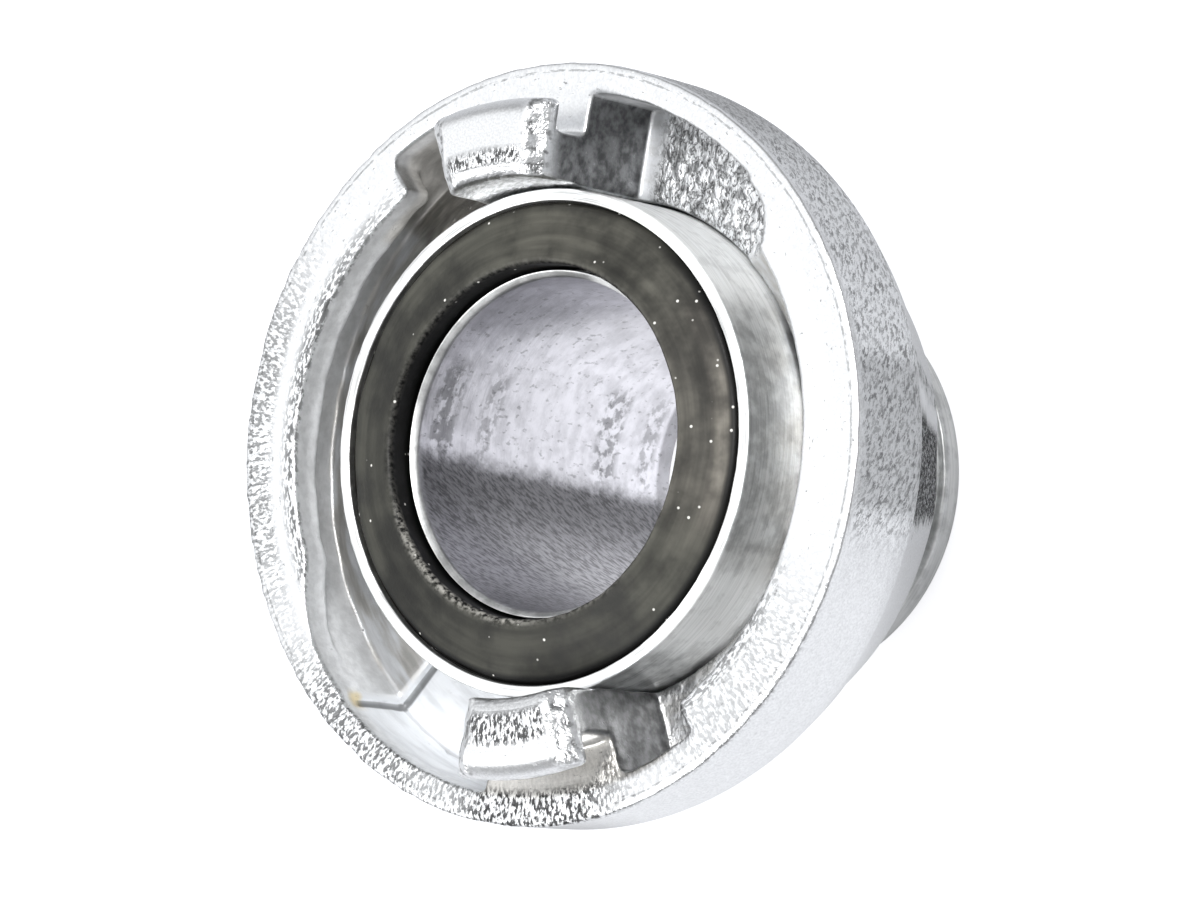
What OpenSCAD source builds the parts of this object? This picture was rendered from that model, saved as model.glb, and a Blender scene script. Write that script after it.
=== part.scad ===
// Two-claw fire hose coupling, 52 mm class: a cast locking head that turns on a hose tail.
// The tail stands on its end at z = 0 and its axis is z. The claws point up.

/* [Locking head] */
// Outside diameter of the rim
rim_d = 98; // [94:0.5:104]
// Bevel on the front edge of the rim
rim_bevel = 0.8; // [0.3:0.1:1.5]
// Length of the straight barrel behind the front face
barrel_len = 13.5; // [10:0.5:16]
// Length of the whole head behind its front face
head_len = 37; // [33:0.5:42]
// Outside diameter of the skirt at its rear edge
rear_d = 75.2; // [72:0.2:80]
// Distance from the front face to the end of the cast shoulder
shoulder_z = 21.8; // [20:0.2:26]
// Depth of the turned band below the cast shoulder
band_step = 0.4; // [0.2:0.1:1]
// Wall of the skirt behind the base
skirt_wall = 4; // [3:0.25:5]
// Bevel on the rear edge of the skirt
rear_bevel = 1; // [0.5:0.1:1.5]

/* [Claws] */
// Distance between the inner faces of the two claws
claw_spacing = 66; // [65:0.25:67.5]
// Clearance between a claw's neck and the edge of the lip that it passes
neck_gap = 0.9; // [0.6:0.1:1.5]
// Clearance between a claw's nose and the wall of the channel that it turns in
nose_gap = 1.2; // [0.8:0.1:1.6]
// Height of a claw above the rim's front face
claw_height = 9.4; // [8:0.2:11]
// Height of the nose's rear face above the rim's front face
nose_lift = 5.4; // [4.5:0.1:6]
// Width of a claw, as an angle
claw_angle = 28; // [25:0.5:31]
// Bevel on the inner front edge of a claw
claw_bevel_in = 1.5; // [0.5:0.1:2]
// Bevel on the outer front edge of a claw
claw_bevel_out = 2; // [1:0.1:2.6]
// Lead-in bevel on each end of a claw
claw_lead = 3.2; // [2:0.2:4.4]
// Fillet under the nose
nose_fillet = 0.8; // [0.3:0.1:1.2]

/* [Lips and slots] */
// Wall of the rim outside the channel
rim_wall = 4.4; // [3.6:0.1:5.2]
// Reach of a lip inwards from the channel's wall
lip_reach = 4.2; // [3.4:0.1:5]
// Thickness of a lip where a claw enters under it
lip_t = 4.6; // [4:0.1:5.2]
// Slope of the lips' rear face, which draws the couplings together
lip_slope = 0.7; // [0.3:0.1:1]
// End of a lip, as an angle from the centre of a claw
lip_end = 147; // [142:0.5:150]
// Depth of the channel's floor below the front face
channel_depth = 12.4; // [11.5:0.1:13.4]
// How far the insertion slots reach outwards beyond the channel's wall
slot_reach = 0.6; // [0.3:0.1:1]
// How much deeper the slots' floor is than the channel's
slot_extra = 0.6; // [0.2:0.1:1]
// End of an insertion slot, as an angle from the centre of a claw
slot_end = 49.5; // [46:0.5:53]
// Round of a lip's first corner
lip_lead_r = 8; // [5:0.5:10]
// Depth of the flat ground on the skirt where the casting's gate was cut off
gate_flat = 0.9; // [0.5:0.1:1.2]
// Place of that flat, as an angle from the centre of a claw
gate_turn = 92.5; // [75:0.5:110]

/* [Base and journal] */
// Diameter of the bearing bore in the head's base
bearing_d = 54.4; // [53:0.2:56]
// Thickness of the base's flange around the bearing bore
flange_t = 4; // [3:0.25:5]
// Depth of the flange's front face below the front face of the head
flange_z = 16; // [15:0.25:18]
// Radial clearance of the running fit
run_gap = 0.08; // [0.05:0.01:0.1]
// Clearance around the collar of the tail, and between faces that turn on each other
free_gap = 0.3; // [0.2:0.05:0.4]

/* [Hose tail] */
// Length of the tail from the seat's face to its end
tail_len = 59; // [52:0.5:90]
// Diameter of the through bore
bore_d = 43; // [38:0.5:44]
// Diameter of the shank that the hose slips over
shank_d = 51.2; // [50:0.2:52]
// Diameter over the ribs and the end bead
rib_d = 53.8; // [53:0.2:54]
// Radius of the ribs' round backs
rib_r = 2; // [1.5:0.1:3]
// Length of the end bead
bead_len = 4.6; // [4:0.2:6]
// Bevel on the front edge of the end bead
bead_bevel = 0.6; // [0.3:0.1:1]
// Round on the rear edge of the end bead
bead_round = 2.2; // [1:0.1:2.6]
// Number of ribs in front of the end bead
rib_count = 2; // [1:1:4]
// Bevel at the rear end of the bore
bore_bevel = 0.6; // [0.3:0.1:1]

/* [Seat and gasket] */
// Wall of the collar around the seat's mouth
collar_wall = 1.6; // [1.2:0.1:2.2]
// Depth of the undercut that keeps the gasket in, beyond the mouth
seat_undercut = 0.5; // [0.3:0.05:0.6]
// Thickness of the lip above the undercut
seat_lip = 1.2; // [0.8:0.1:2]
// Depth of the seat's floor below its face
seat_depth = 6; // [5:0.25:7]
// Diameter of the ring that stands around the bore's mouth
mouth_d = 44.8; // [44:0.1:46]
// Depth of that ring's top below the seat's face
mouth_z = 1.6; // [1:0.1:2.5]
// Bevel on the outer edge of the collar
collar_bevel = 0.35; // [0.2:0.05:0.6]
// Inner diameter of the gasket
gasket_d = 45.6; // [45:0.2:47]
// How far the gasket's inner edge stands in front of the seat's face
gasket_proud = 1.9; // [1:0.1:2.5]
// How far the gasket's outer edge lies below the seat's face
gasket_sunk = 0.3; // [0:0.1:0.6]
// Round on the gasket's inner edge
gasket_round = 0.5; // [0.3:0.1:1]

/* [Snap ring] */
// Diameter of the spring wire
wire_d = 2.4; // [2:0.1:3]
// Opening of the split ring, as an angle
wire_split = 14; // [8:1:30]
// Land behind the ring's groove
land = 1.6; // [1:0.1:2.5]

/* [Hidden] */
$fn = 128;

rim_r = rim_d / 2;
rear_r = rear_d / 2;
claw_r = claw_spacing / 2;
channel_r = rim_r - rim_wall;
slot_r = channel_r + slot_reach;
lip_r = channel_r - lip_reach;
neck_r = lip_r - neck_gap;
nose_r = channel_r - nose_gap;
slot_depth = channel_depth + slot_extra;
bearing_r = bearing_d / 2;
journal_r = bearing_r - run_gap;
collar_r = claw_r - free_gap;
bore_r = bore_d / 2;
mouth_r = mouth_d / 2;
seat_r = collar_r - collar_wall;
shank_r = shank_d / 2;
wire_r = wire_d / 2;

// The cone behind the barrel, from the barrel's end to the rear edge
cone_slope = (rim_r - rear_r) / (head_len - barrel_len);
cone_tilt = atan(cone_slope);
edge_r = rim_r - cone_slope * (shoulder_z - barrel_len);
// The base's rear face, and where the snap ring lies behind it
base_rear = flange_z + flange_t;
wire_gap = 0.1;
groove_play = 0.15;
wire_float = 0.05;
wire_z = base_rear + wire_gap + wire_r;
groove_r = journal_r - wire_r;
groove_half = wire_r + groove_play;
wire_ring_r = groove_r + wire_r + wire_float;
journal_end = wire_z + groove_half + land;
// The end bead's front face, and the distance from one rib to the next
bead_r = rib_d / 2;
bead_top = bead_len - tail_len;
rib_pitch = (tail_len - bead_len - journal_end) / (rib_count + 1);
// The bevel on the ring around the bore's mouth
mouth_edge = 0.2;
// The gasket's clearance in its undercut, and the two steps of its edge beside the seat's lip
gasket_gap = 0.1;
gasket_step = 0.3;
gasket_edge = 0.5;
// A margin by which cutting shapes stand past the surfaces that they open
cut = 1;
// The angle by which neighbouring cuts overlap
lap = 1;
// Room below a lip for its sloping rear face, and the ledge beside the round of its first corner
lip_slope_room = 3;
lead_ledge = 0.3;
// The centre of the top claw lies this far anticlockwise of the y axis
rest_turn = 7;

cast_colour = [0.80, 0.81, 0.83];
turned_colour = [0.86, 0.87, 0.89];
rubber_colour = [0.24, 0.24, 0.20];
spring_colour = [0.55, 0.56, 0.58];

// A sector of a ring, from angle a0 to a1 clockwise from the y axis, with its section as children
module sector(a0, a1) {
    rotate(90 - a1) rotate_extrude(angle = a1 - a0) children();
}

// A rectangle in the section plane, from radius r0 to r1 and from z0 to z1
module bar(r0, r1, z0, z1) {
    translate([r0, z0]) square([r1 - r0, z1 - z0]);
}

// A place at radius r and at an angle clockwise from the y axis, turned with x pointing outwards
module at(r, a) {
    rotate(90 - a) translate([r, 0, 0]) children();
}

// The head before its slots are cut. Inside: bearing bore, flange and the skirt's hollow. Outside:
// turned band, cone and barrel. On top stands the ring that the two claws are left from: a neck with
// a nose that reaches outwards and bevels on its front face.
module head_section() {
    band_r = edge_r - band_step;
    skirt_in = rear_r - skirt_wall;
    hollow_r = skirt_in + cone_slope * (head_len - base_rear);
    polygon([
        [claw_r, -flange_z],
        [bearing_r, -flange_z],
        [bearing_r, -base_rear],
        [hollow_r, -base_rear],
        [skirt_in, -head_len],
        [rear_r - rear_bevel, -head_len],
        [rear_r, -head_len + rear_bevel],
        [band_r, -shoulder_z],
        [edge_r, -shoulder_z],
        [rim_r, -barrel_len],
        [rim_r, -rim_bevel],
        [rim_r - rim_bevel, 0],
        [neck_r, 0],
        [neck_r, nose_lift - nose_fillet],
        [neck_r + nose_fillet, nose_lift],
        [nose_r, nose_lift],
        [nose_r, claw_height - claw_bevel_out],
        [nose_r - claw_bevel_out, claw_height],
        [claw_r + claw_bevel_in, claw_height],
        [claw_r, claw_height - claw_bevel_in]
    ]);
}

// A lip that stays in the channel's cut. Its rear face slopes, so that the lip grows thicker
// clockwise, and a round takes off its first corner.
module lip() {
    lip_middle = (slot_end + lip_end) / 2;
    start_y = lip_r * sin((lip_end - slot_end) / 2);
    difference() {
        sector(slot_end + lap / 2, lip_end)
            bar(lip_r, channel_r + cut, -lip_t - lip_slope_room, nose_lift / 2);
        at(0, lip_middle) translate([0, start_y, -lip_t]) rotate([lip_slope, 0, 0])
            translate([0, -2 * rim_r, -rim_r]) cube([rim_r, 3 * rim_r, rim_r]);
        at(slot_r - lip_lead_r - lead_ledge, slot_end) translate([0, 0, -channel_depth])
            cylinder(r = lip_lead_r, h = channel_depth + nose_lift);
    }
}

// What is cut clockwise of one claw: the insertion slot, and the channel with the lip left in it
module side_cuts() {
    half = claw_angle / 2;
    difference() {
        union() {
            sector(half, slot_end) bar(claw_r - cut, slot_r, -slot_depth, claw_height + cut);
            sector(slot_end - lap, 180 - half)
                bar(claw_r - 2 * cut, channel_r, -channel_depth, claw_height + 2 * cut);
        }
        lip();
    }
}

// The lead-in bevels on the two ends of a claw
module lead_in() {
    bevel_tilt = 45;
    for (end = [-1, 1])
        at(claw_r - cut, end * claw_angle / 2) translate([0, end * claw_lead, claw_height])
            rotate([bevel_tilt + 90 * end, 0, 0])
                cube([nose_r - claw_r + 2 * cut, 2 * claw_lead, 2 * claw_lead]);
}

// The flat on the turned band, as a block that lies on the cone
module gate_block() {
    band_len = (head_len - shoulder_z) / cos(cone_tilt);
    at(edge_r - band_step, gate_turn) translate([0, 0, -shoulder_z]) rotate([0, cone_tilt, 0])
        translate([-gate_flat, -rim_r / 2, -band_len - cut])
            cube([rim_r, rim_r, band_len + cut - gate_flat]);
}

module locking_head() {
    color(cast_colour) translate([0, 0, tail_len]) rotate(rest_turn) difference() {
        rotate_extrude() head_section();
        for (side = [0, 180]) rotate(side) {
            side_cuts();
            lead_in();
        }
        gate_block();
    }
}

// The tail's section: collar with the gasket's seat, journal, and shank with its end bead
module tail_section() {
    undercut_r = seat_r + seat_undercut;
    polygon([
        [bore_r, -mouth_z - (mouth_r - bore_r)],
        [mouth_r - mouth_edge, -mouth_z],
        [mouth_r, -mouth_z - mouth_edge],
        [mouth_r, -seat_depth],
        [undercut_r, -seat_depth],
        [undercut_r, -seat_lip],
        [seat_r, -seat_lip],
        [seat_r, 0],
        [collar_r - collar_bevel, 0],
        [collar_r, -collar_bevel],
        [collar_r, -flange_z + free_gap],
        [journal_r, -flange_z + free_gap],
        [journal_r, -journal_end],
        [shank_r, -journal_end],
        [shank_r, bead_top],
        [bead_r - bead_bevel, bead_top],
        [bead_r, bead_top - bead_bevel],
        [bead_r, bead_round - tail_len],
        [bead_r - bead_round, -tail_len],
        [bore_r + bore_bevel, -tail_len],
        [bore_r, bore_bevel - tail_len]
    ]);
}

// A ring with a round section: the bead's rear corner, and each rib on the shank
module round_ring(r, z, section_r) {
    translate([0, 0, z]) rotate_extrude() translate([r, 0]) circle(r = section_r, $fn = 48);
}

module hose_tail() {
    color(turned_colour) translate([0, 0, tail_len]) difference() {
        union() {
            rotate_extrude() tail_section();
            round_ring(bead_r - bead_round, bead_round - tail_len, bead_round);
            for (i = [1:rib_count]) round_ring(bead_r - rib_r, -journal_end - i * rib_pitch, rib_r);
        }
        rotate_extrude()
            bar(groove_r, journal_r + cut, -wire_z - groove_half, -wire_z + groove_half);
    }
}

// The gasket's section: a flat ring under the seat's lip, whose face rises to a proud inner edge
module gasket_section() {
    inner = gasket_d / 2;
    outer = seat_r + seat_undercut - gasket_gap;
    polygon([
        [inner, -seat_depth],
        [outer, -seat_depth],
        [outer, -seat_lip - gasket_gap],
        [seat_r - gasket_step, -seat_lip - gasket_gap],
        [seat_r - gasket_edge, -gasket_sunk],
        [inner + 2 * gasket_round, gasket_proud],
        [inner + gasket_round / 2, gasket_proud - gasket_round / 4],
        [inner, gasket_proud - gasket_round]
    ]);
}

module gasket() {
    color(rubber_colour) translate([0, 0, tail_len]) rotate_extrude() gasket_section();
}

module snap_ring() {
    color(spring_colour) translate([0, 0, tail_len - wire_z]) rotate(-90 + wire_split / 2)
        rotate_extrude(angle = 360 - wire_split) translate([wire_ring_r, 0]) circle(r = wire_r, $fn = 32);
}

locking_head();
hose_tail();
gasket();
snap_ring();
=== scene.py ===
# %% [markdown]
# A two-claw fire hose coupling, face on
#
# A cast aluminium locking head turns on a turned hose tail. This lesson builds the looks around the
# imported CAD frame: the camera first, then one piece after another, each a surface that is worked out
# with numpy, then the materials, and the floor and the light last. All lengths in the formulas are
# millimetres, with z = 0 in the plane of the rim's front face, as a drawing of the coupling gives
# them.

import math
from types import SimpleNamespace

import bpy
import numpy as np
from mathutils import Matrix, Vector


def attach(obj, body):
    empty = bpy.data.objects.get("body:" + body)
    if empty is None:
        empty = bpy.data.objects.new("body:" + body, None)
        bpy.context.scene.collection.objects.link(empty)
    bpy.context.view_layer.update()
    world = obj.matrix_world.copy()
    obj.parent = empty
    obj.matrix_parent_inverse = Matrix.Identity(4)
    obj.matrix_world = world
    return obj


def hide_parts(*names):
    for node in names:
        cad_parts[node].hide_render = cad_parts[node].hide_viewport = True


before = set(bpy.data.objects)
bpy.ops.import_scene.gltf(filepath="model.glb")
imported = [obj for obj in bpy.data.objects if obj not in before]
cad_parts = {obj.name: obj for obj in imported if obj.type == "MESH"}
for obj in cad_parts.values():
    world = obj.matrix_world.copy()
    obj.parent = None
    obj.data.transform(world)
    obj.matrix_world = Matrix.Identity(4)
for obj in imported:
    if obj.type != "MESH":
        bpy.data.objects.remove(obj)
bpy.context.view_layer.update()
# The tail's end face, on which the coupling stands, lies this far behind the rim's front face.
TAIL_LEN = 59.0
print("nodes:", sorted(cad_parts))

# %% [markdown]
# Camera
#
# A long lens stands 37 degrees off the bore's axis, to the right. It could be set by eye, but three
# circles on one axis say more: its place and its axes come from a camera fitted to the circles of
# rim, seat and bore, which the photograph shows as ellipses.

# %% Camera
CAMERA_MM = (386.84, -48.92, 563.92)
CAMERA_RIGHT = (0.80265, 0.05635, -0.59379)
CAMERA_UP = (0.0, 0.99553, 0.09447)
CAMERA_BACK = (0.59646, -0.07583, 0.79906)
LENS_MM = 150.0


def make_camera():
    """A camera whose three axes are the columns of its matrix."""
    data = bpy.data.cameras.new("camera")
    data.lens, data.sensor_width = LENS_MM, 36.0
    data.clip_start, data.clip_end = 0.05, 50.0
    camera = bpy.data.objects.new("camera", data)
    bpy.context.scene.collection.objects.link(camera)
    turn = Matrix((CAMERA_RIGHT, CAMERA_UP, CAMERA_BACK)).transposed().to_4x4()
    camera.matrix_world = Matrix.Translation(Vector(CAMERA_MM) / 1000) @ turn
    bpy.context.scene.camera = camera
    return camera


camera = make_camera()
print("camera at", [round(v, 3) for v in camera.location])

# %% [markdown]
# Tools for surfaces
#
# Every piece here is round. Blender's own Spin and Displace would make such faces, but a modifier
# can't follow a mask of the maker's own. So the points are worked out as arrays and handed to the
# mesh at once, and a lattice noise gives cast and worn faces their unevenness.

# %% Arrays into meshes
def add_mesh(name, points_mm, quads):
    """A smooth mesh object from points in drawing millimetres and rows of four point numbers."""
    mesh = bpy.data.meshes.new(name)
    points = np.asarray(points_mm, np.float64).copy()
    points[:, 2] += TAIL_LEN
    mesh.vertices.add(len(points))
    mesh.vertices.foreach_set("co", (points / 1000).astype(np.float32).ravel())
    mesh.loops.add(quads.size)
    mesh.loops.foreach_set("vertex_index", quads.astype(np.int32).ravel())
    mesh.polygons.add(len(quads))
    mesh.polygons.foreach_set("loop_start", np.arange(0, quads.size, 4, dtype=np.int32))
    mesh.polygons.foreach_set("use_smooth", np.ones(len(quads), bool))
    mesh.update(calc_edges=True)
    mesh.validate()
    piece = bpy.data.objects.new(name, mesh)
    bpy.context.scene.collection.objects.link(piece)
    return piece


def point_normals(points, quads):
    """Each point's normal: the sum of the cross products of its quads' diagonals, made unit."""
    a, b, c, d = (points[quads[:, i]] for i in range(4))
    face = np.cross(c - a, d - b)
    total = np.zeros_like(points)
    for i in range(4):
        np.add.at(total, quads[:, i], face)
    return total / np.maximum(np.linalg.norm(total, axis=1, keepdims=True), 1e-12)


# %% Lattice noise
def lattice_value(ix, iy, iz, seed):
    """A fixed pseudo-random number from -1 to 1 for each whole-numbered lattice point."""
    h = (ix * 374761393 + iy * 668265263 + iz * 1274126177 + seed * 974634777) & 0xFFFFFFFF
    h = ((h ^ (h >> 13)) * 1103515245) & 0xFFFFFFFF
    h = ((h ^ (h >> 16)) * 2246822519) & 0xFFFFFFFF
    return (h & 0xFFFF) / 32767.5 - 1


def noise(points, size, seed=0):
    """Smooth noise from -1 to 1: lattice values blended by 3t^2 - 2t^3 along each axis."""
    p = np.asarray(points, np.float64) / size
    cell = np.floor(p).astype(np.int64)
    t = p - cell
    t = t * t * (3 - 2 * t)
    total = 0
    for corner in range(8):
        dx, dy, dz = corner & 1, corner >> 1 & 1, corner >> 2 & 1
        weight = (t[..., 0] if dx else 1 - t[..., 0]) * (t[..., 1] if dy else 1 - t[..., 1])
        weight = weight * (t[..., 2] if dz else 1 - t[..., 2])
        total = total + weight * lattice_value(
            cell[..., 0] + dx, cell[..., 1] + dy, cell[..., 2] + dz, seed
        )
    return total


print("noise 0.7 mm along x:", round(float(noise(np.array([[0.7, 0.0, 0.0]]), 1.5)[0]), 3))


# %% Soft steps and marks
def ease(value, low, high):
    """0 below low, 1 above high, and a smooth step between."""
    t = np.clip((value - low) / (high - low), 0, 1)
    return t * t * (3 - 2 * t)


def near(value, middle, half, flat=0.3):
    """1 around the middle and 0 more than half from it. The share flat of half stays at 1."""
    return 1 - ease(np.abs(value - middle), flat * half, half)


def bell(angle, middle, half, flat=0.3):
    """The same on a circle: 1 around the middle angle, and 0 more than half degrees from it."""
    return near((angle - middle + 180) % 360 - 180, 0.0, half, flat)


def marks(angle, *places):
    """A sum of bells, each given as its share, its middle, its half width and its flat part."""
    return sum(share * bell(angle, *place) for share, *place in places)


print("a bell of 20 degrees, 10 degrees off:", round(float(bell(100.0, 90.0, 20.0)), 3))


# %% [markdown]
# The locking head
#
# The head is one casting with undercuts: noses that overhang their necks, and lips that overhang the
# channel. No height map and no single profile can hold those. A distance field can: it is negative
# in the metal, positive outside, and cuts and joins are the larger or the smaller of two fields. It
# is worked out on a grid of rings, in angle, radius and height, so that every turned edge runs along
# the grid and comes out clean.

# %% Sizes of the head
RIM_R, BARREL, HEAD_LEN, REAR_R = 49.0, 13.5, 37.0, 37.6
CLAW_R, NECK_R, NOSE_R, CLAW_H, NOSE_LIFT = 33.0, 39.5, 43.4, 9.4, 5.4
CLAW_HALF, CLAW_LEAD, CLAW_FOOT, BEVEL_OUT, BEVEL_IN = 14.0, 3.2, 6.0, 2.0, 1.5
LIP_R, LIP_T, LIP_SLOPE, LIP_END = 40.4, 4.6, 0.7, 151.0
CHANNEL_R, CHANNEL_Z, GAP_DEEPER = 44.6, 12.4, 1.3
SLOT_R, SLOT_Z, SLOT_END, LEAD_R, LEAD_R_LONG = 45.2, 13.0, 49.5, 8.0, 22.0
SHOULDER_Z, BAND_STEP, GATE_FLAT, GATE_TURN = 21.8, 0.4, 0.3, 94.0
BEARING_R, FLANGE_Z, BASE_Z, SKIRT_IN = 27.2, 16.0, 20.0, 33.6
REST_TURN = 7.0
SLOPE = (RIM_R - REAR_R) / (HEAD_LEN - BARREL)
CONE_COS = 1 / math.hypot(1, SLOPE)
COS_45 = 0.7071
print("the cone narrows by", round(SLOPE, 3), "mm for each millimetre of its length")


# %% Smooth cuts and joins
def join(a, b, k):
    """The smaller of two fields, with the inner corner filled by a round of about k."""
    h = np.clip(0.5 + 0.5 * (b - a) / k, 0, 1)
    return b * (1 - h) + a * h - k * h * (1 - h)


def cross(a, b, k):
    """The larger of two fields, with the outer corner taken off by a round of about k."""
    return -join(-a, -b, k)


def past(r, angle, edge):
    """How far, in millimetres, a point lies clockwise past the half-plane at edge degrees."""
    return r * np.sin(np.radians(angle - edge))


# %% The head's field
def outside_field(r, angle, z):
    """Barrel, cone, turned band and gate flat: the larger of the distances to their faces."""
    band = BAND_STEP * ease(-z, SHOULDER_Z, SHOULDER_Z + 0.5)
    cone = (r - RIM_R + SLOPE * (-z - BARREL) + band) * CONE_COS
    body = cross(cross(r - RIM_R, cone, 1.5), z, 0.7)
    flat = (r * np.cos(np.radians(angle - GATE_TURN)) - RIM_R + SLOPE * (-z - BARREL)) * CONE_COS
    flat = flat + BAND_STEP + GATE_FLAT
    body = cross(body, join(flat, -z - SHOULDER_Z - 0.8, 0.4), 0.4)
    return cross(body, -z - HEAD_LEN, 1.2)


def claw_field(r, turn, z):
    """A neck and a nose with bevels, between two half-planes, with a lead-in at each end."""
    end = np.minimum(past(r, CLAW_HALF, turn), past(r, turn, -CLAW_HALF))
    lead = (z - CLAW_H + CLAW_LEAD - end) * COS_45
    claw = cross(r - NOSE_R, z - CLAW_H, 0.5)
    claw = cross(claw, (r + z - NOSE_R - CLAW_H + BEVEL_OUT) * COS_45, 0.8)
    claw = cross(claw, (z - r + CLAW_R - CLAW_H + BEVEL_IN) * COS_45, 0.8)
    claw = cross(claw, CLAW_R - r, 0.4)
    claw = cross(claw, join(r - NECK_R, NOSE_LIFT - z, 1.0), 0.5)
    claw = cross(claw, past(r, turn, CLAW_HALF), 0.7)
    claw = cross(claw, past(r, -CLAW_HALF, turn), 0.7)
    return cross(cross(claw, lead, 0.8), -z - CLAW_FOOT, 0.5)


def cuts_field(r, angle, z):
    """The insertion slot and the channel, less the lip that stays above the channel. The second lip
    starts with a longer round than the first and ends in a deeper gap."""
    half_turn, second = angle % 180, angle > 180
    lead_r = np.where(second, LEAD_R_LONG, LEAD_R)
    slot = cross(past(r, CLAW_HALF, half_turn), past(r, half_turn, SLOT_END), 1.0)
    slot = cross(cross(slot, r - SLOT_R, 1.2), -SLOT_Z - z, 0.9)
    channel = cross(past(r, SLOT_END - 1, half_turn), past(r, half_turn, 180 - CLAW_HALF), 1.0)
    deeper = GAP_DEEPER * ease(half_turn, LIP_END - 2, LIP_END + 2) * second
    channel = cross(cross(channel, r - CHANNEL_R - deeper, 1.0), -CHANNEL_Z - z, 1.0)
    middle = (SLOT_END + LIP_END) / 2
    along = past(r, middle, half_turn) - LIP_R * math.sin(math.radians((LIP_END - SLOT_END) / 2))
    under = -z - LIP_T + along * math.tan(math.radians(LIP_SLOPE))
    corner = np.radians(half_turn - SLOT_END)
    corner_r = SLOT_R - lead_r - 0.3
    to_corner = np.hypot(r * np.cos(corner) - corner_r, r * np.sin(corner))
    lip = cross(LIP_R - r, past(r, SLOT_END + 0.5, half_turn), 0.5)
    lip = cross(cross(lip, past(r, half_turn, LIP_END), 1.2), under, 0.5)
    lip = cross(lip, lead_r - to_corner, 0.5)
    return join(slot, cross(channel, -lip, 0.7), 0.5)


def head_field(r, angle, z):
    """The whole head: outside joined with the claws, less bore, base room, hollow and cuts."""
    turn = (angle + 90) % 180 - 90
    body = join(outside_field(r, angle, z), claw_field(r, turn, z), 0.8)
    body = cross(body, -cross(r - CLAW_R, -FLANGE_Z - z, 0.3), 0.4)
    body = cross(body, BEARING_R - r, 0.4)
    hollow = (r - SKIRT_IN - SLOPE * (z + HEAD_LEN)) * CONE_COS
    body = cross(body, -cross(hollow, z + BASE_Z, 1.0), 0.8)
    return cross(body, -cuts_field(r, angle, z), 0.7)


print("field in the rim's wall:", round(float(head_field(47.0, 120.0, -5.0)), 2), "mm")


# %% [markdown]
# From field to faces
#
# The surface lies where the field is zero. Each grid cell that the surface crosses gets one point,
# the mean of the crossings on the cell's twelve edges, and each grid edge that it crosses gets one
# face, between the four cells around that edge. It is known as surface nets.

# %% One point for each crossed cell
def net_points(f, ahead, radii, heights):
    """Points (angle, radius, height), each the mean of the crossings on its cell's twelve edges, and
    for every cell the number of its point, or -1."""
    columns, nr, nz = f.shape
    shape = (columns, nr - 1, nz - 1)
    total, count = np.zeros(shape + (3,), np.float32), np.zeros(shape, np.float32)

    def add_edges(low, high, corner):
        """Adds the crossings on one edge of every cell. The corner holds None along that edge."""
        hit = (low < 0) != (high < 0)
        t = np.where(hit, low / np.where(hit, low - high, 1), 0)
        place = [t if c is None else np.full(shape, c) for c in corner]
        total[...] += hit[..., None] * np.stack(place, -1)
        count[...] += hit

    for da, g in enumerate((f, ahead)):
        for dr in (0, 1):
            add_edges(g[:, dr : nr - 1 + dr, :-1], g[:, dr : nr - 1 + dr, 1:], (da, dr, None))
        for dz in (0, 1):
            add_edges(g[:, :-1, dz : nz - 1 + dz], g[:, 1:, dz : nz - 1 + dz], (da, None, dz))
    for dr in (0, 1):
        for dz in (0, 1):
            part = (slice(None), slice(dr, nr - 1 + dr), slice(dz, nz - 1 + dz))
            add_edges(f[part], ahead[part], (None, dr, dz))
    active = count > 0
    number = np.full(shape, -1, np.int64)
    number[active] = np.arange(active.sum())
    i, j, k = np.nonzero(active)
    mean = total[active] / count[active][:, None]
    angle = (i + mean[:, 0]) * (360.0 / columns)
    radius = radii[j] + mean[:, 1] * (radii[j + 1] - radii[j])
    height = heights[k] + mean[:, 2] * (heights[k + 1] - heights[k])
    return np.stack([angle, radius, height], axis=1), number


# %% One face for each crossed edge
def net_quads(f, ahead, number):
    """Quads between the four cells around each crossed grid edge, turned to face the outside. Each
    family of edges comes with its two ends and the steps to its four cells."""
    families = (
        (f[:, 1:-1, 1:-1], ahead[:, 1:-1, 1:-1], ((0, 0, 0), (0, 1, 0), (0, 1, 1), (0, 0, 1))),
        (f[:, :-1, 1:-1], f[:, 1:, 1:-1], ((-1, 0, 0), (-1, 0, 1), (0, 0, 1), (0, 0, 0))),
        (f[:, 1:-1, :-1], f[:, 1:-1, 1:], ((-1, 0, 0), (0, 0, 0), (0, 1, 0), (-1, 1, 0))),
    )
    columns, quads = len(f), []
    for first, last, cells in families:
        for rising in (True, False):
            hit = (first < 0) & (last >= 0) if rising else (first >= 0) & (last < 0)
            i, j, k = np.nonzero(hit)
            rows = [number[(i + di) % columns, j + dj, k + dk] for di, dj, dk in cells]
            quads.append(np.stack(rows if rising else rows[::-1], axis=1))
    return np.concatenate(quads)


def ring_net(field, radii, heights, columns):
    """Points (angle, radius, height) and quads of the zero surface on a grid closed in angle."""
    turns = np.arange(columns) * 360.0 / columns
    f = field(radii[None, :, None], turns[:, None, None], heights[None, None, :])
    ahead = np.roll(f, -1, axis=0)
    points, number = net_points(f, ahead, radii, heights)
    return points, net_quads(f, ahead, number)


def from_rings(points):
    """Points given as angle clockwise from the top claw, radius and height, in x, y and z."""
    turn = np.radians(90 + REST_TURN - points[:, 0])
    return np.stack([points[:, 1] * np.cos(turn), points[:, 1] * np.sin(turn), points[:, 2]], 1)


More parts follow.
